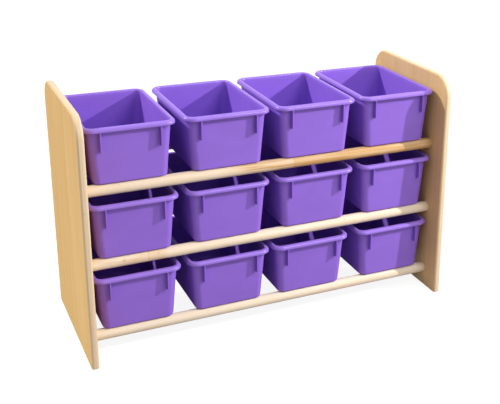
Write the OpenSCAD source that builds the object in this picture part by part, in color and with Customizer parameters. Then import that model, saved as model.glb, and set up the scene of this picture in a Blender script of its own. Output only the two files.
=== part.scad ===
// Toy storage unit: two wooden side panels joined by round rods, which carry
// three rows of lift-out plastic bins. X runs along the rods, the front faces
// -Y, and Z = 0 is the floor under the middle of the unit.

/* [Side panels] */
// Width of the unit over both side panels
unit_w = 982; // [940:2:1100]
// Depth of a side panel, front edge to rear edge
panel_d = 396; // [370:2:450]
// Height of a side panel
panel_h = 630; // [600:1:760]
// Thickness of a side panel
panel_t = 18; // [17:0.5:24]
// Radius of a panel's top corners
corner_r = 55; // [20:1:100]
// Radius of the rounded-over panel edges
panel_edge_r = 6; // [2:0.5:8]

/* [Rods] */
// Diameter of a rod
rod_d = 29; // [24:1:34]
// Distance from a panel's front or rear edge to the nearest rods' axes
rod_inset = 70; // [60:0.5:90]
// Height of the lowest rods' axes above the floor
bottom_rod_z = 51; // [40:0.5:60]
// Height from one row of rods to the next
row_pitch = 189.5; // [183:0.5:191]
// How deep a rod's end sits in the side panel
socket_depth = 7; // [4:0.5:8]
// Chamfer round a rod's end
rod_chamfer = 1; // [0.5:0.5:2]

/* [Screws and plugs] */
// Diameter of a screw's shank
screw_d = 4.5; // [3.5:0.5:6]
// Diameter of a screw's countersunk head
screw_head_d = 9; // [8:0.5:9.5]
// Length of a screw
screw_l = 45; // [30:5:60]
// Length of a screw's point
screw_point_l = 6; // [3:1:8]
// Width of the cross recess in a screw's head
recess_w = 1.2; // [0.8:0.2:1.6]
// Depth of the cross recess in a screw's head
recess_depth = 1.6; // [1:0.2:2]
// Diameter of the wooden plug over a screw
plug_d = 10; // [9.5:0.5:12]
// Length of a wooden plug
plug_l = 5; // [3:0.5:6]

/* [Bins] */
// Length of a bin over its rim, front to rear
rim_l = 317; // [285:1:330]
// Height of a bin
bin_h = 142; // [120:0.5:146]
// Height of the rim's turned-down edge
rim_h = 10; // [9:0.5:18]
// Radius of the rim's corners, seen from above
rim_corner_r = 28; // [20:1:40]
// Radius of the rim's rolled outer edge
rim_roll_r = 7; // [3:0.5:8]
// Radius of the rounded edge between the rim's top and the space inside
rim_inner_r = 4; // [1:0.5:4]
// How far the rim stands out from the side walls
side_reach = 9.5; // [8:0.5:18]
// How far the rim stands out from the end walls
end_reach = 11.5; // [8:0.5:14]
// Thickness of a bin's walls and floor
bin_wall = 2.4; // [1.6:0.2:3]
// Radius of a bin's upright corners
bin_corner_r = 18; // [12:1:24]
// Radius between a bin's walls and its bottom
bin_foot_r = 5; // [3.5:0.5:8]
// How far a side wall leans in from the rim down to the bottom
side_draft = 11.5; // [2:0.5:14]
// How far an end wall leans in from the rim down to the bottom
end_draft = 6.5; // [2:0.5:8]
// Distance between the two ribs under the rim of an end wall
rib_spacing = 142; // [100:2:150]
// Length of a rib below the rim
rib_l = 50; // [20:1:60]
// Thickness of a rib
rib_t = 3.2; // [2:0.2:5]
// Height of the slope at a rib's lower end
rib_slope = 3; // [1:0.5:6]

/* [Fits] */
// Distance from the panels' front edges back to the bins' rims
bin_setback = 42; // [36:1:50]
// Gap between the rims of neighbouring bins
bin_gap = 17; // [12:0.5:24]
// Gap between an end bin's rim and the side panel next to it
bin_end_gap = 5.5; // [2.5:0.5:12]
// Gap between a rod's top and the bin that rests on it
rest_gap = 0.3; // [0.1:0.1:0.6]
// Gap round the glued and screwed pieces
fit_gap = 0.1; // [0.05:0.05:0.2]
// Gap round a screw's shank in the side panel
shank_gap = 0.3; // [0.1:0.1:0.5]

/* [Hidden] */
rows = 3;
columns = 4;
DEPTHS = ["front", "rear"];
LEVELS = ["bottom", "middle", "top"];
function rod_name(level, depth) = str(LEVELS[level], "_", DEPTHS[depth], "_rod");
function bin_name(level, column) = str(LEVELS[level], "_bin_", column + 1);

// How far each bin stands to one side of its even place, bottom row first
bin_shift = [[1, 0, -9, 0], [1, 1, 1, 1], [-1, 1, 1, 0]];

wood = "#dab47f";
pale_wood = "#f2dcc0";
plug_wood = "#d4ac76";
steel = "#b9bcc0";
purple = "#8b68cc";

$fn = 72;
arc_steps = 6;
roll_steps = 3;
edge_steps = 4;
profile_steps = 10;

inner_w = unit_w - 2 * panel_t;
overall_d = max(panel_d, bin_setback + rim_l);
front_y = -overall_d / 2;
rear_y = front_y + panel_d;
rod_y = [front_y + rod_inset, rear_y - rod_inset];
function rod_z(level) = bottom_rod_z + level * row_pitch;

head_h = (screw_head_d - screw_d) / 2;
web_t = panel_t - socket_depth;
rod_l = inner_w + 2 * (socket_depth - fit_gap);
pilot_l = screw_l + plug_l - web_t + fit_gap;

rim_w = (inner_w - 2 * bin_end_gap - (columns - 1) * bin_gap) / columns;
bin_pitch = rim_w + bin_gap;
bin_y = front_y + bin_setback + rim_l / 2;
function bin_x(level, column) =
    (column - (columns - 1) / 2) * bin_pitch + bin_shift[level][column];
function bin_z(level) = rod_z(level) + rod_d / 2 + rest_gap;

// Points of a quarter circle round a centre, from a start angle
function quarter(x, y, r, start, steps) =
    [for (i = [0:steps]) [x + r * cos(start + 90 * i / steps), y + r * sin(start + 90 * i / steps)]];

// Rectangle with round corners, centred, as a ring of points at height z
function round_ring(w, l, r, z) =
    let (x = w / 2 - r, y = l / 2 - r)
    [for (p = concat(
        quarter(x, y, r, 0, arc_steps),
        quarter(-x, y, r, 90, arc_steps),
        quarter(-x, -y, r, 180, arc_steps),
        quarter(x, -y, r, 270, arc_steps)
    )) [p[0], p[1], z]];

// Closed solid through rings of points, the first ring lowest
module loft(rings) {
    n = len(rings[0]);
    last = len(rings) - 1;
    polyhedron(
        points = [for (ring = rings) each ring],
        faces = concat(
            [[for (i = [0:n - 1]) i]],
            [[for (i = [n - 1:-1:0]) last * n + i]],
            [for (k = [0:last - 1], i = [0:n - 1])
                [k * n + i, (k + 1) * n + i, (k + 1) * n + (i + 1) % n]],
            [for (k = [0:last - 1], i = [0:n - 1])
                [k * n + i, (k + 1) * n + (i + 1) % n, k * n + (i + 1) % n]]
        )
    );
}

// A side panel's outline drawn in by inset, as a ring of points at depth x
// from its outer face: up the rear edge, over the top and down the front edge
function panel_ring(x, inset) =
    let (r = corner_r - inset, z = panel_h - corner_r)
    [for (p = concat(
        [[front_y + inset, 0], [rear_y - inset, 0]],
        quarter(rear_y - corner_r, z, r, 0, profile_steps),
        quarter(front_y + corner_r, z, r, 90, profile_steps)
    )) [x, p[0], p[1]]];

// Side panel with its outer face at x = 0 and its inner face at x = panel_t
module panel_blank() {
    r = panel_edge_r;
    outer = [for (i = [0:edge_steps]) let (a = 90 * i / edge_steps) [r * (1 - cos(a)), r * (1 - sin(a))]];
    inner = [for (i = [edge_steps:-1:0]) [panel_t - outer[i][0], outer[i][1]]];
    loft([for (step = concat(outer, inner)) panel_ring(step[0], step[1])]);
}

// Everything that is bored into a panel for one rod, along +X from the outer
// face: the plug's hole, the countersink, the screw's hole and the rod's socket
module rod_bore() {
    plug_r = plug_d / 2 + fit_gap;
    head_r = screw_head_d / 2 + fit_gap;
    shank_r = screw_d / 2 + shank_gap;
    socket_r = rod_d / 2 + fit_gap;
    rotate([90, 0, 90])
        rotate_extrude()
            polygon([
                [0, -1], [plug_r, -1], [plug_r, plug_l], [head_r, plug_l],
                [shank_r, plug_l + head_r - shank_r], [shank_r, web_t],
                [socket_r, web_t], [socket_r, panel_t + 1], [0, panel_t + 1]
            ]);
}

// Puts its children at each rod's axis on a panel's outer face
module at_rod_ends() {
    for (level = [0:rows - 1], y = rod_y)
        translate([-unit_w / 2, y, rod_z(level)])
            children();
}

// The left side as drawn, the right side as its mirror image
module on_side(side) {
    if (side == "left")
        children();
    else
        mirror([1, 0, 0])
            children();
}

module side_panel(side) {
    color(wood)
        on_side(side)
            difference() {
                translate([-unit_w / 2, 0, 0])
                    panel_blank();
                at_rod_ends()
                    rod_bore();
            }
}

// Rod along X, chamfered, with a pilot hole for a screw in each end
module rod(level, depth) {
    r = rod_d / 2;
    pilot_r = screw_d / 2 + fit_gap;
    end = rod_l / 2;
    color(pale_wood)
        translate([0, rod_y[depth], rod_z(level)])
            rotate([90, 0, 90])
                rotate_extrude()
                    polygon([
                        [0, pilot_l - end], [pilot_r, pilot_l - end],
                        [pilot_r, -end], [r - rod_chamfer, -end],
                        [r, rod_chamfer - end], [r, end - rod_chamfer],
                        [r - rod_chamfer, end], [pilot_r, end],
                        [pilot_r, end - pilot_l], [0, end - pilot_l]
                    ]);
}

// Countersunk wood screw along +X, head at x = 0, with a cross recess
module screw() {
    shank_r = screw_d / 2;
    difference() {
        rotate([90, 0, 90])
            rotate_extrude()
                polygon([
                    [0, 0], [screw_head_d / 2, 0], [shank_r, head_h],
                    [shank_r, screw_l - screw_point_l], [0, screw_l]
                ]);
        for (turn = [0, 90])
            rotate([turn, 0, 0])
                translate([recess_depth / 2 - 1, 0, 0])
                    cube([recess_depth + 2, screw_d, recess_w], center = true);
    }
}

module side_screws(side) {
    color(steel)
        on_side(side)
            at_rod_ends()
                translate([plug_l, 0, 0])
                    screw();
}

module side_plugs(side) {
    color(plug_wood)
        on_side(side)
            at_rod_ends()
                rotate([0, 90, 0])
                    cylinder(h = plug_l - fit_gap, d = plug_d);
}

// Ring of points round the outside of a bin's walls at height z, drawn in
function wall_ring(z, inset) =
    let (
        lean = 1 - z / bin_h,
        w = rim_w - 2 * (side_reach + side_draft * lean + inset),
        l = rim_l - 2 * (end_reach + end_draft * lean + inset)
    )
    round_ring(w, l, bin_corner_r - inset, z);

// Ring of points round the rim at height z, drawn in
function rim_ring(z, inset) =
    round_ring(rim_w - 2 * inset, rim_l - 2 * inset, rim_corner_r - inset, z);

// Walls' outer shape, with a round edge along the bottom
module bin_outside() {
    loft(concat(
        [for (i = [0:roll_steps]) let (a = 90 * i / roll_steps)
            wall_ring(bin_foot_r * (1 - cos(a)), bin_foot_r * (1 - sin(a)))],
        [wall_ring(bin_h - bin_wall / 2, 0)]
    ));
}

// The space inside a bin, wider where the rim's inner edge is rounded, and
// open past its top
module bin_inside() {
    r = bin_foot_r - bin_wall;
    loft(concat(
        [for (i = [0:roll_steps]) let (a = 90 * i / roll_steps)
            wall_ring(bin_wall + r * (1 - cos(a)), bin_wall + r * (1 - sin(a)))],
        [for (i = [0:roll_steps]) let (a = 90 * i / roll_steps)
            wall_ring(bin_h - rim_inner_r * (1 - sin(a)), bin_wall - rim_inner_r * (1 - cos(a)))],
        [wall_ring(bin_h + 1, bin_wall - rim_inner_r)]
    ));
}

// Rim that stands out from the walls and turns down, hollow underneath
module bin_rim() {
    difference() {
        loft(concat(
            [rim_ring(bin_h - rim_h, 0)],
            [for (i = [0:roll_steps]) let (a = 90 * i / roll_steps)
                rim_ring(bin_h - rim_roll_r * (1 - sin(a)), rim_roll_r * (1 - cos(a)))]
        ));
        loft([
            rim_ring(bin_h - rim_h - 1, bin_wall),
            rim_ring(bin_h - rim_roll_r, bin_wall),
            rim_ring(bin_h - bin_wall, rim_roll_r)
        ]);
    }
}

// Upright rib under the rim of a bin's front wall, as deep as the rim stands
// out; the rear wall has the same ribs, turned round
module bin_rib() {
    face = -rim_l / 2 + bin_wall / 2;
    root = -rim_l / 2 + end_reach + end_draft + bin_wall / 2;
    low = bin_h - rim_h - rib_l;
    high = bin_h - rim_roll_r;
    translate([-rib_t / 2, 0, 0])
        rotate([90, 0, 90])
            linear_extrude(height = rib_t)
                polygon([[root, low], [root, high], [face, high], [face, low + rib_slope]]);
}

module bin(level, column) {
    color(purple)
        translate([bin_x(level, column), bin_y, bin_z(level)])
            difference() {
                union() {
                    bin_outside();
                    bin_rim();
                    for (x = [-1, 1] * rib_spacing / 2, turn = [0, 180])
                        rotate([0, 0, turn])
                            translate([x, 0, 0])
                                bin_rib();
                }
                bin_inside();
            }
}

side_panel("left");  // left_panel
side_panel("right");  // right_panel
for (level = [0:rows - 1], depth = [0:1])
    rod(level, depth);
side_screws("left");  // left_screws
side_screws("right");  // right_screws
side_plugs("left");  // left_plugs
side_plugs("right");  // right_plugs
for (level = [0:rows - 1], column = [0:columns - 1])
    bin(level, column);
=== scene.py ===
import math

import bmesh
import bpy
from bpy.props import FloatProperty, FloatVectorProperty, IntProperty, PointerProperty
from mathutils import Matrix, Vector, noise


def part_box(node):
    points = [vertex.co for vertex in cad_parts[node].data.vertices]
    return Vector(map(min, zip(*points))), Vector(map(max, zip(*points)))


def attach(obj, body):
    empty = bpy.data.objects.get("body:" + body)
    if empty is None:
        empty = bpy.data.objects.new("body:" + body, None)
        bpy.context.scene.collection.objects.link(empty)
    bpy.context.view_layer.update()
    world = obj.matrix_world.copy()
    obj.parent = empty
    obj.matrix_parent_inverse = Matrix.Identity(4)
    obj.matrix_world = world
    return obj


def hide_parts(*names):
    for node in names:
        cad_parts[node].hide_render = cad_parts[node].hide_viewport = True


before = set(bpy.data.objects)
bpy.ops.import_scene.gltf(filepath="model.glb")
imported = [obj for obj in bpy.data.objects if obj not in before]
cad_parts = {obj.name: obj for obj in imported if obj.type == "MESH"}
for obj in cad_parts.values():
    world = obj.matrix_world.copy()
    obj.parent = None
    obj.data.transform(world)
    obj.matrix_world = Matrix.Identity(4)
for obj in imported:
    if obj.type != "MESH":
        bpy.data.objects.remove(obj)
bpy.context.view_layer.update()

bl_info = {
    "name": "Toy storage unit",
    "version": (1, 0, 0),
    "blender": (4, 5, 0),
    "location": "3D View > Sidebar > Toy storage",
    "description": "Side panels, rods, plugs, screws and bins of a toy storage unit, "
                   "and a stage to show it on",
    "category": "Object",
}

MM = 0.001
MIRRORED = Matrix.Scale(-1, 4, (1, 0, 0))
ROWS = ("bottom", "middle", "top")
SIDES = ("left", "right")
ROD_NODES = [f"{row}_{depth}_rod" for row in ROWS for depth in ("front", "rear")]
BIN_NODES = [f"{row}_bin_{column}" for row in ROWS for column in (1, 2, 3, 4)]
PANEL_LOW, PANEL_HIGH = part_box("left_panel")
ROD_LOW, ROD_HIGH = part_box("top_front_rod")
BIN_LOW, BIN_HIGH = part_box("top_bin_1")
PLUG_LOW, PLUG_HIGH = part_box("left_plugs")
ROD_DIAMETER = ROD_HIGH.z - ROD_LOW.z
ROD_REACH = -ROD_LOW.x
PLUG_LENGTH = PLUG_HIGH.x - PLUG_LOW.x

# How finely round shapes are divided
PANEL_CORNER_STEPS, PANEL_EDGE_STEPS, BORE_STEPS = 20, 7, 64
ROD_STEPS, ROD_SPANS, PLUG_STEPS = 56, 72, 40
FOOT_STEPS, INNER_FOOT_STEPS, WALL_SPANS = 6, 5, 5
UNDER_RIM_STEPS, RIM_ROLL_STEPS, INNER_ROLL_STEPS = 5, 8, 6
# Pace of a rod's wander along it, round it and from one rod to the next
WANDER_ALONG, WANDER_ROUND, WANDER_APART = 9, 0.6, 40

WOOD_IOR, PLASTIC_IOR = 1.5, 1.49
# Specular level left to an export, which can't follow one that changes with the angle
GLOSS_ALONE = 0.25
ZINC, ZINC_MARKS = (0.62, 0.64, 0.66), (0.50, 0.51, 0.53)

# Floor, with the colours that it lends to the light and shows to the camera
FLOOR_HALF, FLOOR_CELLS = 9, 8
FLOOR_PLAIN, FLOOR_PALE, FLOOR_GLOW = (0.38, 0.36, 0.35, 1), (0.18, 0.18, 0.18, 1), 0.90
WHITE = (1, 1, 1, 1)
# Light of the room: its level all round, and how much it gains to the right, to the rear and upwards
ROOM_LEVEL, ROOM_SLOPE = 0.6, (0.2, 0.0, 0.9)
# Azimuth right of the front and elevation in degrees, and distance in metres
KEY_FROM, KEY_SIZE = (60.5, 29, 3.2), 0.035
FRONT_FROM, FRONT_SIZE = (28, 42, 2.5), 0.9
FILL_FROM, FILL_ANGLE = (-128, 33, 4), 3
SENSOR_WIDTH, VIEW_END = 36, 50


def length(name, description, default):
    """A size that a user may change, kept in metres"""
    return FloatProperty(name=name, description=description, default=default, min=0.0, max=1.0,
                         subtype="DISTANCE", unit="LENGTH", precision=4)


def colour(name, description, default):
    """A colour that a user may change, in linear light"""
    return FloatVectorProperty(name=name, description=description, default=default, size=3,
                               min=0.0, max=1.0, subtype="COLOR")


def share(name, description, default, high=1.0):
    """A plain number from nought up"""
    return FloatProperty(name=name, description=description, default=default, min=0.0, max=high)


def turn(name, description, default):
    """An angle that a user may change"""
    return FloatProperty(name=name, description=description, default=default, subtype="ANGLE")


class RackSizes(bpy.types.PropertyGroup):
    """Sizes of the side panels, rods, plugs and screws"""
    panel_thickness: length("Panel thickness", "From a panel's outer face to its inner face",
                            PANEL_HIGH.x - PANEL_LOW.x)
    corner_radius: length("Corner radius", "Radius of a panel's two top corners", 55 * MM)
    edge_radius: length("Edge radius", "Radius of the rounded-over panel edges", 6 * MM)
    socket_depth: length("Socket depth", "How deep a rod's end sits in a panel", 7 * MM)
    socket_gap: length("Socket gap", "Gap round a glued piece", 0.1 * MM)
    rod_diameter: length("Rod diameter", "Diameter of every rod", ROD_DIAMETER)
    rod_chamfer: length("Rod chamfer", "Chamfer round a rod's end", 1 * MM)
    rod_wander: length("Rod wander", "How far a rod's surface wanders inwards from true round", 0.15 * MM)
    plug_diameter: length("Plug diameter", "Diameter of a wooden plug", 10 * MM)
    plug_length: length("Plug length", "Depth of a plug's hole", 5 * MM)
    screw_diameter: length("Screw diameter", "Diameter of a screw's shank", 4.5 * MM)
    screw_head: length("Screw head", "Diameter of a screw's head", 9 * MM)
    screw_length: length("Screw length", "Length of a screw", 45 * MM)


class BinSizes(bpy.types.PropertyGroup):
    """Sizes of one bin"""
    rim_width: length("Rim width", "Width over the rim", BIN_HIGH.x - BIN_LOW.x)
    rim_length: length("Rim length", "Length over the rim, front to rear", BIN_HIGH.y - BIN_LOW.y)
    height: length("Height", "From the bottom to the rim's top", BIN_HIGH.z - BIN_LOW.z)
    rim_height: length("Rim height", "Height of the rim's turned-down edge", 10 * MM)
    rim_roll: length("Rim roll", "Radius of the rim's rolled outer edge", 7 * MM)
    inner_roll: length("Inner roll", "Radius of the rounded edge from the rim's top into the bin", 4 * MM)
    rim_corner: length("Rim corner", "Radius of the rim's corners from above", 28 * MM)
    side_reach: length("Side reach", "How far the rim stands out from the side walls", 9.5 * MM)
    end_reach: length("End reach", "How far the rim stands out from the end walls", 11.5 * MM)
    wall: length("Wall", "Thickness of the walls and the floor", 2.4 * MM)
    wall_corner: length("Wall corner", "Radius of the upright corners", 18 * MM)
    foot: length("Foot", "Radius between the walls and the bottom", 5 * MM)
    side_draft: length("Side draft", "How far a side wall leans in down to the bottom", 11.5 * MM)
    end_draft: length("End draft", "How far an end wall leans in down to the bottom", 6.5 * MM)
    rib_spacing: length("Rib spacing", "Distance between the two ribs of an end wall", 142 * MM)
    rib_length: length("Rib length", "Length of a rib below the rim", 50 * MM)
    rib_thickness: length("Rib thickness", "Thickness of a rib", 3.2 * MM)
    rib_slope: length("Rib slope", "Height of the slope at a rib's lower end", 3 * MM)
    corner_steps: IntProperty(name="Corner steps", description="Faces round a quarter of a corner",
                              default=12, min=3, max=32)


class WoodLook(bpy.types.PropertyGroup):
    """Colours and gloss of the wood"""
    face: colour("Face", "Veneer on the panels' faces", (0.78, 0.53, 0.24))
    face_grain: colour("Face grain", "Grain lines in the veneer", (0.70, 0.45, 0.19))
    edge: colour("Edge", "Panels' edges", (0.75, 0.60, 0.41))
    edge_plies: colour("Edge plies", "Darker plies in the edges", (0.66, 0.48, 0.30))
    rod: colour("Rod", "Pale wood of the rods", (0.85, 0.73, 0.57))
    rod_grain: colour("Rod grain", "Grain lines in the rods", (0.80, 0.63, 0.44))
    rod_heart: colour("Rod heart", "Orange heartwood in the middle front rod", (0.72, 0.42, 0.19))
    streak: colour("Streak", "Brown wood in the top front rod", (0.56, 0.31, 0.10))
    knot: colour("Knot", "Pin knots, pores and seams", (0.40, 0.22, 0.10))
    plug: colour("Plug", "Plugs over the screws", (0.74, 0.48, 0.22))
    roughness: share("Roughness", "Roughness of the satin lacquer", 0.5)


class BinLook(bpy.types.PropertyGroup):
    """Colour and gloss of the plastic"""
    plastic: colour("Plastic", "Purple of the bins", (0.272, 0.138, 0.63))
    # Paler purple: a painted sheen all along the rim, and real wear with painted glints where the plastic is
    # scuffed
    sheen_and_wear: colour("Sheen and wear", "Paler purple along the rim and where a bin is rubbed", (0.33, 0.19, 0.72))
    roughness: share("Roughness", "Roughness of the moulded plastic", 0.36)


class StageLook(bpy.types.PropertyGroup):
    """Camera and lights"""
    camera_place: FloatVectorProperty(name="Camera place", description="Where the camera stands", size=3,
                                      default=(-0.84304, -2.15183, 1.23614), subtype="TRANSLATION",
                                      unit="LENGTH")
    camera_heading: turn("Camera heading", "Turn from straight back towards the right", 0.4740)
    camera_tilt: turn("Camera tilt", "Tilt below the horizon", 0.3261)
    camera_roll: turn("Camera roll", "Roll of the picture", 0.0265)
    camera_lens: FloatProperty(name="Camera lens", description="Focal length in millimetres",
                               default=65.94, min=1.0)
    camera_shift: FloatVectorProperty(name="Camera shift", description="Shift of the picture", size=2,
                                      default=(-0.18, -0.12))
    key: share("Key", "Power in watts of the hard light from the right", 325.0, 2000.0)
    front: share("Front", "Power in watts of the soft light above the front", 17.0, 500.0)
    fill: share("Fill", "Strength of the light from behind on the left", 2.35, 20.0)
    room: share("Room", "Strength of the light from all round", 0.58, 5.0)


class ToyStorage(bpy.types.PropertyGroup):
    """Everything that a user would change"""
    rack: PointerProperty(type=RackSizes)
    bin: PointerProperty(type=BinSizes)
    wood: PointerProperty(type=WoodLook)
    plastic: PointerProperty(type=BinLook)
    stage: PointerProperty(type=StageLook)


# Meshes


def piece(name, points, faces, finish):
    """A mesh object from points and faces, with one finish or none"""
    mesh = bpy.data.meshes.new(name)
    mesh.from_pydata([tuple(p) for p in points], [], faces)
    mesh.validate()
    made = bpy.data.objects.new(name, mesh)
    bpy.context.scene.collection.objects.link(made)
    if finish is not None:
        mesh.materials.append(finish)
    return made


def shade(thing, angle=35):
    """Outward normals, smooth shading, and sharp edges where faces meet at more than the angle"""
    shell = bmesh.new()
    shell.from_mesh(thing.data)
    bmesh.ops.recalc_face_normals(shell, faces=shell.faces)
    shell.to_mesh(thing.data)
    shell.free()
    thing.data.shade_smooth()
    thing.data.set_sharp_from_angle(angle=math.radians(angle))
    weighted = thing.modifiers.new("weighted_normals", "WEIGHTED_NORMAL")
    weighted.keep_sharp = True
    return thing


def carve(thing, other, operation):
    """Cuts the other mesh out of the thing or joins it on, and removes the other"""
    cut = thing.modifiers.new("carve", "BOOLEAN")
    cut.object, cut.operation, cut.solver = other, operation, "EXACT"
    bpy.context.view_layer.update()
    mesh = bpy.data.meshes.new_from_object(thing.evaluated_get(bpy.context.evaluated_depsgraph_get()))
    thing.modifiers.clear()
    old, thing.data = thing.data, mesh
    mesh.name = thing.name
    bpy.data.meshes.remove(old)
    gone = other.data
    bpy.data.objects.remove(other)
    bpy.data.meshes.remove(gone)


def quarter(across, up, radius, start, steps):
    """Points of a quarter circle, from a start angle in degrees"""
    angles = [math.radians(start + 90 * i / steps) for i in range(steps + 1)]
    return [(across + radius * math.cos(a), up + radius * math.sin(a)) for a in angles]


def rounding(radius, steps):
    """How far a rounded edge lies from its two flat faces, from one face to the other"""
    angles = [math.pi / 2 * i / steps for i in range(steps + 1)]
    return [(radius * (1 - math.cos(a)), radius * (1 - math.sin(a))) for a in angles]


def loft(rings):
    """Points and faces of a closed solid through rings with the same number of points"""
    count = len(rings[0])
    points = [p for ring in rings for p in ring]
    faces = [list(range(count))[::-1], [(len(rings) - 1) * count + i for i in range(count)]]
    for k in range(len(rings) - 1):
        for i in range(count):
            j = (i + 1) % count
            faces.append([k * count + i, k * count + j, (k + 1) * count + j, (k + 1) * count + i])
    return points, faces


def turned(profile, steps, centre, wander=0.0):
    """Points and faces of a solid turned round the X axis from a profile of (radius, x) that starts
    and ends on the axis; wander draws its surface in a little, by a slow noise"""
    centre = Vector(centre)
    points = [centre + Vector((profile[0][1], 0, 0))]
    for radius, x in profile[1:-1]:
        for i in range(steps):
            a = 2 * math.pi * i / steps
            across = Vector((0, math.cos(a), math.sin(a)))
            place = Vector((x * WANDER_ALONG, 0, 0)) + across * WANDER_ROUND + centre * WANDER_APART
            drawn = radius - wander * (0.5 + 0.5 * noise.noise(place))
            points.append(centre + Vector((x, 0, 0)) + across * drawn)
    points.append(centre + Vector((profile[-1][1], 0, 0)))
    last = len(points) - 1
    faces = []
    for i in range(steps):
        j = (i + 1) % steps
        faces.append([0, 1 + j, 1 + i])
        faces.append([last, last - steps + i, last - steps + j])
    for k in range(len(profile) - 3):
        for i in range(steps):
            j = (i + 1) % steps
            a = 1 + k * steps
            faces.append([a + i, a + j, a + steps + j, a + steps + i])
    return points, faces


def joined(shapes):
    """Several lots of points and faces as one"""
    points, faces = [], []
    for more_points, more_faces in shapes:
        start = len(points)
        points += more_points
        faces += [[start + i for i in face] for face in more_faces]
    return points, faces


def rod_axis(node):
    """The Y and Z of a rod's axis"""
    low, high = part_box(node)
    return (low.y + high.y) / 2, (low.z + high.z) / 2


# Finishes


class Finish:
    """A procedural material, put together node by node; its patterns have scales per metre along X, Y
    and Z, and its mixes have shares from 0 to 1"""

    def __init__(self, name, **sockets):
        self.material = bpy.data.materials.new(name)
        self.material.use_nodes = True
        self.tree = self.material.node_tree
        self.shader = self.tree.nodes["Principled BSDF"]
        self.set(self.shader, {k.replace("_", " "): v for k, v in sockets.items()})
        self.place = self.add("ShaderNodeTexCoord").outputs["Object"]

    def set(self, node, inputs):
        """Links a node's inputs to sockets, or gives them values"""
        for name, value in inputs.items():
            socket = node.inputs[name]
            if isinstance(value, bpy.types.NodeSocket):
                self.tree.links.new(value, socket)
            elif hasattr(value, "__len__") and len(value) == 3 and len(socket.default_value) == 4:
                socket.default_value = (*value, 1)
            else:
                socket.default_value = value

    def add(self, kind, inputs=None, **settings):
        """A new node with its settings and inputs"""
        node = self.tree.nodes.new(kind)
        for name, value in settings.items():
            setattr(node, name, value)
        self.set(node, inputs or {})
        return node

    def noise(self, scale, detail=2.0, roughness=0.5, distortion=0.0, vector=None):
        """Noise from 0 to 1, with the pattern stretched by three scales"""
        stretched = self.add("ShaderNodeVectorMath", {0: vector or self.place, 1: scale},
                             operation="MULTIPLY")
        inputs = {"Vector": stretched.outputs[0], "Scale": 1.0, "Detail": detail,
                  "Roughness": roughness, "Distortion": distortion}
        return self.add("ShaderNodeTexNoise", inputs).outputs[0]

    def maths(self, operation, *values):
        """A sum on one, two or three values"""
        return self.add("ShaderNodeMath", dict(enumerate(values)), operation=operation).outputs[0]

    def times(self, a, b):
        return self.maths("MULTIPLY", a, b)

    def plus(self, a, b):
        return self.maths("ADD", a, b)

    def minus(self, a, b):
        return self.maths("SUBTRACT", a, b)

    def off(self, value, middle):
        """How far a value is from a middle, either way"""
        return self.maths("ABSOLUTE", self.minus(value, middle))

    def spread(self, value, low, high, to_low=0.0, to_high=1.0, smooth=False):
        """A value from one range, brought to another and kept inside it"""
        kind = "SMOOTHSTEP" if smooth else "LINEAR"
        inputs = {"Value": value, "From Min": low, "From Max": high, "To Min": to_low, "To Max": to_high}
        return self.add("ShaderNodeMapRange", inputs, interpolation_type=kind).outputs[0]

    def blend(self, factor, a, b):
        """A mix of two colours"""
        node = self.add("ShaderNodeMix", data_type="RGBA", blend_type="MIX")
        for index, value in ((0, factor), (6, a), (7, b)):
            self.set(node, {index: value})
        return node.outputs[2]

    def near(self, centre, radius):
        """1 at a point, falling to 0 at a radius from it"""
        away = self.add("ShaderNodeVectorMath", {0: self.place, 1: centre}, operation="DISTANCE")
        return self.spread(away.outputs["Value"], radius, 0.0, smooth=True)

    def split(self, vector):
        """The X, Y and Z of a vector"""
        return self.add("ShaderNodeSeparateXYZ", {0: vector}).outputs

    def paint(self, tone, pattern, smoothest, roughest):
        """The colour, and a roughness that follows a pattern"""
        self.set(self.shader, {"Base Color": tone,
                               "Roughness": self.spread(pattern, 0.3, 0.7, smoothest, roughest)})

    def gloss(self, square, grazing, low=0.45, high=0.8):
        """Specular level seen square on, easing to another where the surface is seen at a low angle"""
        facing = self.add("ShaderNodeLayerWeight", {"Blend": 0.5}).outputs["Facing"]
        self.shader.inputs["Specular IOR Level"].default_value = GLOSS_ALONE
        level = self.spread(facing, low, high, square, grazing, smooth=True)
        self.set(self.shader, {"Specular IOR Level": level})

    def bump(self, height, depth):
        """Relief from a height of 0 to 1, that many metres deep"""
        made = self.add("ShaderNodeBump", {"Height": height, "Distance": depth, "Strength": 1.0})
        self.set(self.shader, {"Normal": made.outputs[0]})


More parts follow.
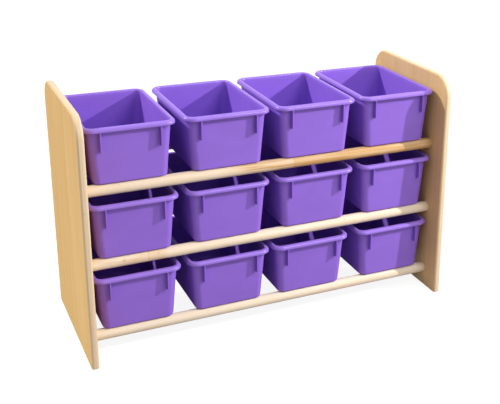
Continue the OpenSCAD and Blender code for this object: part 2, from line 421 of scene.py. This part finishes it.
def panel_finish(look):
    """Birch veneer with upright grain, and paler edges where the plies show"""
    birch = Finish("birch_panel", IOR=WOOD_IOR)
    # Veneer on the faces
    grain = birch.noise((3, 55, 2.0), 8, 0.62, 0.35)
    figure = birch.noise((2, 6, 0.9), 3, 0.5, 1.2)
    pores = birch.spread(birch.noise((60, 900, 38), 1), 0.64, 0.78)
    lines = birch.spread(birch.plus(birch.times(grain, 0.72), birch.times(figure, 0.28)), 0.36, 0.66)
    face = birch.blend(lines, look.face, look.face_grain)
    face = birch.blend(birch.times(pores, 0.22), face, look.knot)
    # Plies and fibres on the edges, with a nick in the left panel's front edge
    plies = birch.spread(birch.noise((640, 5, 5), 1, 0.4), 0.40, 0.62)
    fibre = birch.noise((420, 16, 16), 4, 0.6)
    edge = birch.blend(birch.times(plies, 0.55), look.edge, look.edge_plies)
    edge = birch.blend(birch.times(birch.spread(fibre, 0.45, 0.75), 0.3), edge, look.face_grain)
    nick_height, nick_radius = 0.405, 2.4 * MM
    nick = birch.near((PANEL_HIGH.x - 12 * MM, PANEL_LOW.y, nick_height), nick_radius)
    edge = birch.blend(birch.times(nick, 0.8), edge, look.knot)
    normal = birch.split(birch.add("ShaderNodeNewGeometry").outputs["Normal"])
    on_edge = birch.spread(birch.maths("ABSOLUTE", normal[0]), 0.93, 0.55, smooth=True)
    birch.paint(birch.blend(on_edge, face, edge), grain, look.roughness - 0.05, look.roughness + 0.07)
    birch.gloss(0.3, 0.0)
    birch.bump(birch.minus(grain, birch.times(pores, 0.6)), 0.06 * MM)
    return birch.material


def rod_finish(look):
    """Pale hardwood with grain along the rod. The top front rod turns brown and streaked to the
    right and has a glued joint. The middle one has a joint, some heartwood and three pin knots"""
    rod = Finish("hardwood_rod", IOR=WOOD_IOR)
    grain = rod.noise((2.4, 120, 120), 7, 0.6, 0.3)
    figure = rod.noise((3.2, 26, 26), 3, 0.5, 0.8)
    ticks = rod.spread(rod.noise((70, 900, 900), 1), 0.62, 0.76)
    lines = rod.spread(rod.plus(rod.times(grain, 0.6), rod.times(figure, 0.4)), 0.38, 0.66)
    wood = rod.blend(lines, look.rod, look.rod_grain)
    wood = rod.blend(rod.times(ticks, 0.2), wood, look.knot)
    x, y, z = rod.split(rod.place)[:3]
    front = rod.spread(y, 0.01, -0.01)
    # Top front rod: tan and streaked to the right, and deeper brown past its joint
    top_z = rod_axis("top_front_rod")[1]
    top_joint = 0.0585
    on_top = rod.times(front, rod.spread(z, top_z - 0.05, top_z - 0.04))
    tan = rod.spread(x, -0.16, -0.03, 0.16, 0.50, smooth=True)
    streaks = rod.spread(rod.noise((3.2, 150, 150), 4, 0.6, 0.5), 0.44, 0.56, smooth=True)
    streaks = rod.times(streaks, rod.spread(x, -0.16, -0.04, 0.0, 0.95, smooth=True))
    past_joint = rod.spread(x, top_joint - 1 * MM, top_joint + 1 * MM)
    slant = rod.spread(rod.plus(x, rod.times(rod.minus(z, top_z), 1.9)), 0.20, 0.24, smooth=True)
    deeper = rod.times(past_joint, rod.spread(slant, 0.0, 1.0, 0.24, 0.22))
    brown = rod.plus(rod.maths("MAXIMUM", tan, streaks), deeper)
    wood = rod.blend(rod.times(on_top, brown), wood, look.streak)
    # Middle front rod: streaks of heartwood at its left end, and a patch of it past its joint
    middle_y, middle_z = rod_axis("middle_front_rod")
    middle_joint = -0.328
    on_middle = rod.times(front, rod.spread(rod.off(z, middle_z), 0.05, 0.04))
    band = rod.spread(rod.noise((5, 70, 70), 3, 0.55, 0.6), 0.48, 0.60, smooth=True)
    heart = rod.times(rod.spread(x, -0.30, -0.36, smooth=True), rod.times(band, 0.42))
    patch = rod.times(rod.spread(x, middle_joint - 1 * MM, middle_joint + 1 * MM),
                      rod.spread(x, -0.276, -0.296, 0.0, 0.36, smooth=True))
    wood = rod.blend(rod.times(on_middle, rod.maths("MAXIMUM", heart, patch)), wood, look.rod_heart)
    # A dark seam at each joint, and the knots
    for on_rod, joint, width in ((on_top, top_joint, 1.6 * MM), (on_middle, middle_joint, 1.4 * MM)):
        seam = rod.spread(rod.off(x, joint), width, 0.3 * MM, 0.0, 0.35)
        wood = rod.blend(rod.times(on_rod, seam), wood, look.knot)
    radius = ROD_DIAMETER / 2
    for knot_x, lean, size in ((-0.388, 0.25, 6.5 * MM), (-0.303, 0.5, 4.0 * MM), (0.21, 0.6, 3.5 * MM)):
        spot = (knot_x, middle_y - radius * math.cos(lean), middle_z + radius * math.sin(lean))
        wood = rod.blend(rod.times(rod.near(spot, size), 0.45), wood, look.knot)
    rod.paint(wood, grain, look.roughness - 0.06, look.roughness + 0.06)
    rod.gloss(0.35, 0.1)
    rod.bump(rod.minus(grain, rod.times(ticks, 0.6)), 0.05 * MM)
    return rod.material


def plug_finish(look):
    """Plug wood with its own grain"""
    plug = Finish("wood_plug", IOR=WOOD_IOR)
    grain = plug.noise((30, 210, 26), 5, 0.6, 0.4)
    tone = plug.blend(plug.spread(grain, 0.36, 0.66), look.plug, look.rod_heart)
    plug.paint(tone, grain, look.roughness - 0.04, look.roughness + 0.08)
    plug.gloss(0.35, 0.05)
    plug.bump(grain, 0.05 * MM)
    return plug.material


def screw_finish():
    """Bright zinc with fine rolled marks"""
    zinc = Finish("zinc_screw", Metallic=1.0)
    marks = zinc.noise((900, 120, 120), 4, 0.6)
    zinc.paint(zinc.blend(zinc.spread(marks, 0.35, 0.7), ZINC, ZINC_MARKS), marks, 0.28, 0.42)
    zinc.bump(marks, 0.02 * MM)
    return zinc.material


def bin_finish(look, height):
    """Semi-gloss moulded plastic, glossier along the rim, with a painted paler sheen there, and worn at the
    rim and the foot, with painted glints along the rim
    """
    plastic = Finish("purple_plastic", IOR=PLASTIC_IOR)
    # Each bin has its own part of the pattern
    own = plastic.add("ShaderNodeObjectInfo").outputs["Random"]
    apart = plastic.times(own, 7.0)
    moved = plastic.add("ShaderNodeVectorMath", {0: plastic.place, 1: apart}, operation="ADD").outputs[0]
    cloud = plastic.noise((9, 9, 14), 3, 0.5, 0.4, moved)
    peel = plastic.noise((420, 420, 420), 2, 0.5, 0, moved)
    flow = plastic.noise((26, 26, 60), 2, 0.5, 0.6, moved)
    # Scuff pattern: real wear at the rim and the foot, and painted glints as light dashes along the rim
    scuffs_and_glints = plastic.spread(plastic.noise((50, 340, 900), 4, 0.65, 0.8, moved), 0.60, 0.74)
    z = plastic.split(plastic.place)[2]
    rim_low, rim_full, foot_top = height - 15 * MM, height - 1 * MM, 14 * MM
    rim = plastic.spread(z, rim_low, rim_full, smooth=True)
    foot = plastic.spread(z, foot_top, 0.0, smooth=True)
    rubbed_and_glinting = plastic.times(plastic.maths("MAXIMUM", rim, foot), scuffs_and_glints)
    darker = tuple(c * 0.94 for c in look.plastic)
    tone = plastic.blend(plastic.spread(cloud, 0.36, 0.66), look.plastic, darker)
    # Paler purple: a painted sheen all along the rim, and wear with painted glints where the scuffs fall
    paler = plastic.times(plastic.maths("MAXIMUM", plastic.times(rim, 0.6), rubbed_and_glinting), 0.8)
    tone = plastic.blend(paler, tone, look.sheen_and_wear)
    rough = plastic.plus(plastic.spread(cloud, 0.3, 0.7, look.roughness - 0.03, look.roughness + 0.04),
                         plastic.spread(rim, 0.0, 1.0, 0.0, -0.12))
    rough = plastic.plus(rough, plastic.times(rubbed_and_glinting, 0.14))
    plastic.set(plastic.shader, {"Base Color": tone, "Roughness": rough})
    square, grazing = plastic.spread(rim, 0.0, 1.0, 0.22, 0.50), plastic.spread(rim, 0.0, 1.0, 0.0, 0.12)
    plastic.gloss(square, grazing, low=0.25, high=0.6)
    plastic.bump(plastic.plus(plastic.times(peel, 0.35), plastic.times(flow, 1.6)), 0.05 * MM)
    return plastic.material


# Pieces


def panel_ring(x, inset, radius):
    """A panel's outline drawn in by inset, as points at depth x"""
    front, rear, top = PANEL_LOW.y, PANEL_HIGH.y, PANEL_HIGH.z
    across = [(front + inset, 0.0), (rear - inset, 0.0)]
    across += quarter(rear - radius, top - radius, radius - inset, 0, PANEL_CORNER_STEPS)
    across += quarter(front + radius, top - radius, radius - inset, 90, PANEL_CORNER_STEPS)
    return [Vector((x, y, z)) for y, z in across]


def panel_bore(sizes):
    """The profile of what is bored out of a panel for one rod: plug hole, screw hole and socket"""
    thick, gap, deep = sizes.panel_thickness, sizes.socket_gap, sizes.plug_length
    plug, head = sizes.plug_diameter / 2 + gap, sizes.screw_head / 2 + gap
    shank, socket = sizes.screw_diameter / 2 + 3 * gap, sizes.rod_diameter / 2 + gap
    web = thick - sizes.socket_depth
    return [(0, -MM), (plug, -MM), (plug, deep), (head, deep), (shank, deep + head - shank),
            (shank, web), (socket, web), (socket, thick + MM), (0, thick + MM)]


class TOYSTORAGE_OT_side_panels(bpy.types.Operator):
    """Builds the two side panels with rounded-over edges, rod sockets and plug holes"""
    bl_idname = "toy_storage.side_panels"
    bl_label = "Side panels"

    def execute(self, context):
        sizes = context.scene.toy_storage.rack
        finish = panel_finish(context.scene.toy_storage.wood)
        outer = rounding(sizes.edge_radius, PANEL_EDGE_STEPS)
        inner = [(sizes.panel_thickness - x, inset) for x, inset in reversed(outer)]
        bore = panel_bore(sizes)
        shift = Matrix.Translation((PANEL_LOW.x, 0, 0))
        for side in SIDES:
            rings = [panel_ring(x, inset, sizes.corner_radius) for x, inset in outer + inner]
            panel = piece(f"{side}_side_panel", *loft(rings), finish)
            shapes = [turned(bore, BORE_STEPS, (0, *rod_axis(node))) for node in ROD_NODES]
            carve(panel, piece("bores", *joined(shapes), None), "DIFFERENCE")
            panel.data.transform(shift if side == "left" else MIRRORED @ shift)
            shade(panel)
            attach(panel, "frame")
            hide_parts(f"{side}_panel")
        return {"FINISHED"}


class TOYSTORAGE_OT_rods(bpy.types.Operator):
    """Builds the six rods that carry the bins, with chamfered and drilled ends"""
    bl_idname = "toy_storage.rods"
    bl_label = "Rods"

    def execute(self, context):
        sizes = context.scene.toy_storage.rack
        finish = rod_finish(context.scene.toy_storage.wood)
        r, cut, end = sizes.rod_diameter / 2, sizes.rod_chamfer, ROD_REACH
        pilot = sizes.screw_diameter / 2 + sizes.socket_gap
        web = sizes.panel_thickness - sizes.socket_depth
        drilled = sizes.screw_length + sizes.plug_length - web + sizes.socket_gap
        middle = [(r, (end - cut) * (2 * i / ROD_SPANS - 1)) for i in range(ROD_SPANS + 1)]
        profile = [(0, drilled - end), (pilot, drilled - end), (pilot, -end), (r - cut, -end), *middle,
                   (r - cut, end), (pilot, end), (pilot, end - drilled), (0, end - drilled)]
        for node in ROD_NODES:
            shape = turned(profile, ROD_STEPS, (0, *rod_axis(node)), sizes.rod_wander)
            rod = shade(piece(f"{node}_wood", *shape, finish))
            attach(rod, "frame")
            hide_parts(node)
        return {"FINISHED"}


class TOYSTORAGE_OT_plugs(bpy.types.Operator):
    """Builds the wooden plugs that cover the screws"""
    bl_idname = "toy_storage.plugs"
    bl_label = "Plugs"

    def execute(self, context):
        sizes = context.scene.toy_storage.rack
        finish = plug_finish(context.scene.toy_storage.wood)
        r, ease = sizes.plug_diameter / 2, 0.3 * MM
        profile = [(0, 0), (r - ease, 0), (r - 0.3 * ease, 0.3 * ease), (r, ease), (r, PLUG_LENGTH),
                   (0, PLUG_LENGTH)]
        for side in SIDES:
            shapes = [turned(profile, PLUG_STEPS, (PLUG_LOW.x, *rod_axis(node))) for node in ROD_NODES]
            plugs = piece(f"{side}_side_plugs", *joined(shapes), finish)
            if side == "right":
                plugs.data.transform(MIRRORED)
            shade(plugs)
            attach(plugs, "frame")
            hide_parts(f"{side}_plugs")
        return {"FINISHED"}


class TOYSTORAGE_OT_screws(bpy.types.Operator):
    """Gives the screws under the plugs their zinc finish"""
    bl_idname = "toy_storage.screws"
    bl_label = "Screws"

    def execute(self, context):
        finish = screw_finish()
        for side in SIDES:
            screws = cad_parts[f"{side}_screws"]
            screws.data.materials.clear()
            screws.data.materials.append(finish)
        return {"FINISHED"}


def round_ring(half_width, half_length, radius, z, steps):
    """Rectangle with round corners, as points at height z"""
    x, y = half_width - radius, half_length - radius
    corners = [(x, y, 0), (-x, y, 90), (-x, -y, 180), (x, -y, 270)]
    return [Vector((px, py, z)) for cx, cy, start in corners
            for px, py in quarter(cx, cy, radius, start, steps)]


def bin_shell(s):
    """A bin as one closed skin: up the outside, over the rim, down the inside to the floor"""
    top, steps = s.height, s.corner_steps

    def wall(z, inset):
        """A ring of the tapered wall, drawn in from its outer face"""
        lean = 1 - z / top
        return round_ring(s.rim_width / 2 - s.side_reach - s.side_draft * lean - inset,
                          s.rim_length / 2 - s.end_reach - s.end_draft * lean - inset,
                          s.wall_corner - inset, z, steps)

    def rim(z, inset):
        """A ring of the rim, drawn in from its outer face"""
        return round_ring(s.rim_width / 2 - inset, s.rim_length / 2 - inset, s.rim_corner - inset, z, steps)

    # Up the outside, with a soft turn out to the underside of the rim
    under, soft = top - s.wall, 1.1 * MM
    rings = [wall(rise, inset) for rise, inset in rounding(s.foot, FOOT_STEPS)]
    climb = under - 2 * soft - s.foot
    rings += [wall(s.foot + climb * i / WALL_SPANS, 0) for i in range(1, WALL_SPANS + 1)]
    rings += [wall(under - drop * soft, -out * soft) for drop, out in ((0.7, 0.1), (0.2, 0.45), (0, 1.3))]
    # Down the underside of the roll, round the lip, and up over the roll
    edge, lip = top - s.rim_height, 0.9 * MM
    rings += [rim(under - drop, s.wall + inset)
              for inset, drop in reversed(rounding(s.rim_roll - s.wall, UNDER_RIM_STEPS))]
    rings += [rim(edge + lip, s.wall), rim(edge + 0.3 * lip, s.wall - 0.3 * lip), rim(edge, s.wall - lip),
              rim(edge, lip), rim(edge + 0.3 * lip, 0.3 * lip), rim(edge + lip, 0)]
    rings += [rim(top - drop, inset) for inset, drop in rounding(s.rim_roll, RIM_ROLL_STEPS)]
    # Down the inside to a foot a little rounder than an even wall would have
    rings += [wall(top - drop, s.wall - inset)
              for inset, drop in reversed(rounding(s.inner_roll, INNER_ROLL_STEPS))]
    rounder = 1.6 * MM
    inner, deep = s.foot - s.wall + rounder, top - s.inner_roll
    fall = deep - s.wall - inner
    rings += [wall(deep - fall * i / WALL_SPANS, s.wall) for i in range(1, WALL_SPANS)]
    rings += [wall(s.wall + rise, s.wall + inset)
              for rise, inset in reversed(rounding(inner, INNER_FOOT_STEPS))]
    return loft(rings)


def bin_ribs(s):
    """The two ribs under the rim of each end wall, set a little into the wall and the rim"""
    low, half = s.height - s.rim_height - s.rib_length, s.rib_thickness / 2
    bed, ease = s.wall / 2, 0.5 * MM
    root = [s.rim_length / 2 - s.end_reach - s.end_draft * (1 - z / s.height) - bed
            for z in (low, s.height - bed)]
    face = s.rim_length / 2 - bed
    outline = [(root[0], low), (face - s.end_reach * 0.55, low + 0.2 * s.rib_slope),
               (face - ease, low + s.rib_slope), (face, low + s.rib_slope + ease),
               (face, s.height - s.rim_roll), (s.rim_length / 2 - s.rim_roll, s.height - bed),
               (root[1], s.height - bed)]
    shapes = []
    for x in (-s.rib_spacing / 2, s.rib_spacing / 2):
        for way in (-1, 1):
            rings = []
            for across, drawn in ((-half, ease), (-half + ease, 0), (half - ease, 0), (half, ease)):
                ring = []
                for y, z in outline:
                    out = min(y, face - drawn)
                    ring.append(Vector((x + across, way * out, max(z, low + drawn) if out > root[0] else z)))
                rings.append(ring)
            shapes.append(loft(rings))
    return joined(shapes)


class TOYSTORAGE_OT_bins(bpy.types.Operator):
    """Builds one bin with its rolled rim and ribs, and sets it at each place in the rack"""
    bl_idname = "toy_storage.bins"
    bl_label = "Bins"

    def execute(self, context):
        sizes = context.scene.toy_storage.bin
        finish = bin_finish(context.scene.toy_storage.plastic, sizes.height)
        first = piece(f"{BIN_NODES[0]}_plastic", *bin_shell(sizes), finish)
        carve(first, piece("ribs", *bin_ribs(sizes), None), "UNION")
        shade(first, angle=40)
        # Every copy is made before the first bin rides on its body
        for node in BIN_NODES[1:]:
            bin_object = first.copy()
            bin_object.name = f"{node}_plastic"
            context.scene.collection.objects.link(bin_object)
        for node in BIN_NODES:
            bin_object = bpy.data.objects[f"{node}_plastic"]
            low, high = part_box(node)
            bin_object.location = ((low.x + high.x) / 2, (low.y + high.y) / 2, low.z)
            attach(bin_object, node)
            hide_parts(node)
        return {"FINISHED"}


# Stage


def white_background(tree, plain, bright):
    """Shows the bright shader to the camera, to mirrors and through glass, and the plain one to all else"""
    path = tree.nodes.new("ShaderNodeLightPath")
    seen = path.outputs["Is Camera Ray"]
    for name in ("Is Glossy Ray", "Is Transmission Ray"):
        either = tree.nodes.new("ShaderNodeMath")
        either.operation = "MAXIMUM"
        tree.links.new(seen, either.inputs[0])
        tree.links.new(path.outputs[name], either.inputs[1])
        seen = either.outputs[0]
    choose = tree.nodes.new("ShaderNodeMixShader")
    tree.links.new(seen, choose.inputs[0])
    tree.links.new(plain, choose.inputs[1])
    tree.links.new(bright, choose.inputs[2])
    return choose.outputs[0]


def floor_paint():
    """Grey to the light, and near white to the camera and in gloss, where it keeps the unit's shadow"""
    paint = bpy.data.materials.new("floor_paint")
    paint.use_nodes = True
    tree = paint.node_tree
    tree.nodes.remove(tree.nodes["Principled BSDF"])
    plain, pale = tree.nodes.new("ShaderNodeBsdfDiffuse"), tree.nodes.new("ShaderNodeBsdfDiffuse")
    plain.inputs["Color"].default_value = FLOOR_PLAIN
    pale.inputs["Color"].default_value = FLOOR_PALE
    glow, both = tree.nodes.new("ShaderNodeEmission"), tree.nodes.new("ShaderNodeAddShader")
    glow.inputs["Strength"].default_value = FLOOR_GLOW
    tree.links.new(pale.outputs[0], both.inputs[0])
    tree.links.new(glow.outputs[0], both.inputs[1])
    shown = white_background(tree, plain.outputs[0], both.outputs[0])
    tree.links.new(shown, tree.nodes["Material Output"].inputs["Surface"])
    return paint


def studio(strength):
    """White to the camera, and to the unit a soft light, strongest from above"""
    world = bpy.data.worlds.new("studio")
    world.use_nodes = True
    tree = world.node_tree
    plain = tree.nodes["Background"]
    plain.inputs["Color"].default_value = WHITE
    slope = tree.nodes.new("ShaderNodeVectorMath")
    slope.operation, slope.inputs[1].default_value = "DOT_PRODUCT", ROOM_SLOPE
    tree.links.new(tree.nodes.new("ShaderNodeTexCoord").outputs["Generated"], slope.inputs[0])
    level = tree.nodes.new("ShaderNodeMath")
    level.operation, level.use_clamp = "MULTIPLY_ADD", True
    level.inputs[1].default_value, level.inputs[2].default_value = strength, ROOM_LEVEL * strength
    tree.links.new(slope.outputs["Value"], level.inputs[0])
    tree.links.new(level.outputs[0], plain.inputs["Strength"])
    bright = tree.nodes.new("ShaderNodeBackground")
    bright.inputs["Color"].default_value = WHITE
    shown = white_background(tree, plain.outputs[0], bright.outputs[0])
    tree.links.new(shown, tree.nodes["World Output"].inputs["Surface"])
    return world


def lamp(name, kind, strength, azimuth, elevation, away):
    """A lamp aimed at the middle of the unit, from an azimuth right of the front and an elevation
    above the floor, so far away"""
    data = bpy.data.lights.new(name, kind)
    data.energy = strength
    a, e = math.radians(azimuth), math.radians(elevation)
    source = Vector((math.sin(a) * math.cos(e), -math.cos(a) * math.cos(e), math.sin(e)))
    made = bpy.data.objects.new(name, data)
    made.rotation_euler = source.to_track_quat("Z", "Y").to_euler()
    made.location = source * away + Vector((0, 0, PANEL_HIGH.z / 2))
    bpy.context.scene.collection.objects.link(made)
    return data


def camera_at(look):
    """The camera at the photograph's viewing angle"""
    heading, tilt, roll = look.camera_heading, -look.camera_tilt, look.camera_roll
    ahead = Vector((math.sin(heading) * math.cos(tilt), math.cos(heading) * math.cos(tilt), math.sin(tilt)))
    right = Vector((math.cos(heading), -math.sin(heading), 0))
    up = right.cross(ahead)
    across = math.cos(roll) * right + math.sin(roll) * up
    above = math.cos(roll) * up - math.sin(roll) * right
    data = bpy.data.cameras.new("camera")
    data.lens, data.sensor_width = look.camera_lens, SENSOR_WIDTH
    data.shift_x, data.shift_y = look.camera_shift
    data.clip_end = VIEW_END
    camera = bpy.data.objects.new("camera", data)
    axes = Matrix((across, above, -ahead)).transposed().to_4x4()
    camera.matrix_world = Matrix.Translation(look.camera_place) @ axes
    bpy.context.scene.collection.objects.link(camera)
    return camera


class TOYSTORAGE_OT_stage(bpy.types.Operator):
    """Sets a pale floor, studio light and the camera"""
    bl_idname = "toy_storage.stage"
    bl_label = "Stage"

    def execute(self, context):
        scene, look = context.scene, context.scene.toy_storage.stage
        shell = bmesh.new()
        bmesh.ops.create_grid(shell, x_segments=FLOOR_CELLS, y_segments=FLOOR_CELLS, size=FLOOR_HALF)
        mesh = bpy.data.meshes.new("floor")
        shell.to_mesh(mesh)
        shell.free()
        floor = bpy.data.objects.new("floor", mesh)
        scene.collection.objects.link(floor)
        mesh.materials.append(floor_paint())
        scene.world = studio(look.room)
        scene.view_settings.view_transform = "Standard"
        lamp("key", "POINT", look.key, *KEY_FROM).shadow_soft_size = KEY_SIZE
        front = lamp("front", "AREA", look.front, *FRONT_FROM)
        front.shape, front.size = "DISK", FRONT_SIZE
        lamp("fill", "SUN", look.fill, *FILL_FROM).angle = math.radians(FILL_ANGLE)
        scene.camera = camera_at(look)
        return {"FINISHED"}


class TOYSTORAGE_PT_sidebar(bpy.types.Panel):
    """Lists the steps that build the unit, and its sizes and colours"""
    bl_idname = "TOYSTORAGE_PT_sidebar"
    bl_label = "Toy storage unit"
    bl_space_type = "VIEW_3D"
    bl_region_type = "UI"
    bl_category = "Toy storage"

    def draw(self, context):
        for step in STEPS:
            self.layout.operator(step.bl_idname)
        for group in ("rack", "bin", "wood", "plastic", "stage"):
            box = self.layout.box()
            settings = getattr(context.scene.toy_storage, group)
            for name in settings.__annotations__:
                box.prop(settings, name)


STEPS = (TOYSTORAGE_OT_side_panels, TOYSTORAGE_OT_rods, TOYSTORAGE_OT_plugs, TOYSTORAGE_OT_screws,
         TOYSTORAGE_OT_bins, TOYSTORAGE_OT_stage)
CLASSES = (RackSizes, BinSizes, WoodLook, BinLook, StageLook, ToyStorage, *STEPS, TOYSTORAGE_PT_sidebar)


def register():
    for made in CLASSES:
        bpy.utils.register_class(made)
    bpy.types.Scene.toy_storage = PointerProperty(type=ToyStorage)


def unregister():
    del bpy.types.Scene.toy_storage
    for made in reversed(CLASSES):
        bpy.utils.unregister_class(made)


def main():
    register()
    for step in ("side_panels", "rods", "plugs", "screws", "bins", "stage"):
        getattr(bpy.ops.toy_storage, step)()


if __name__ == "__main__":
    main()
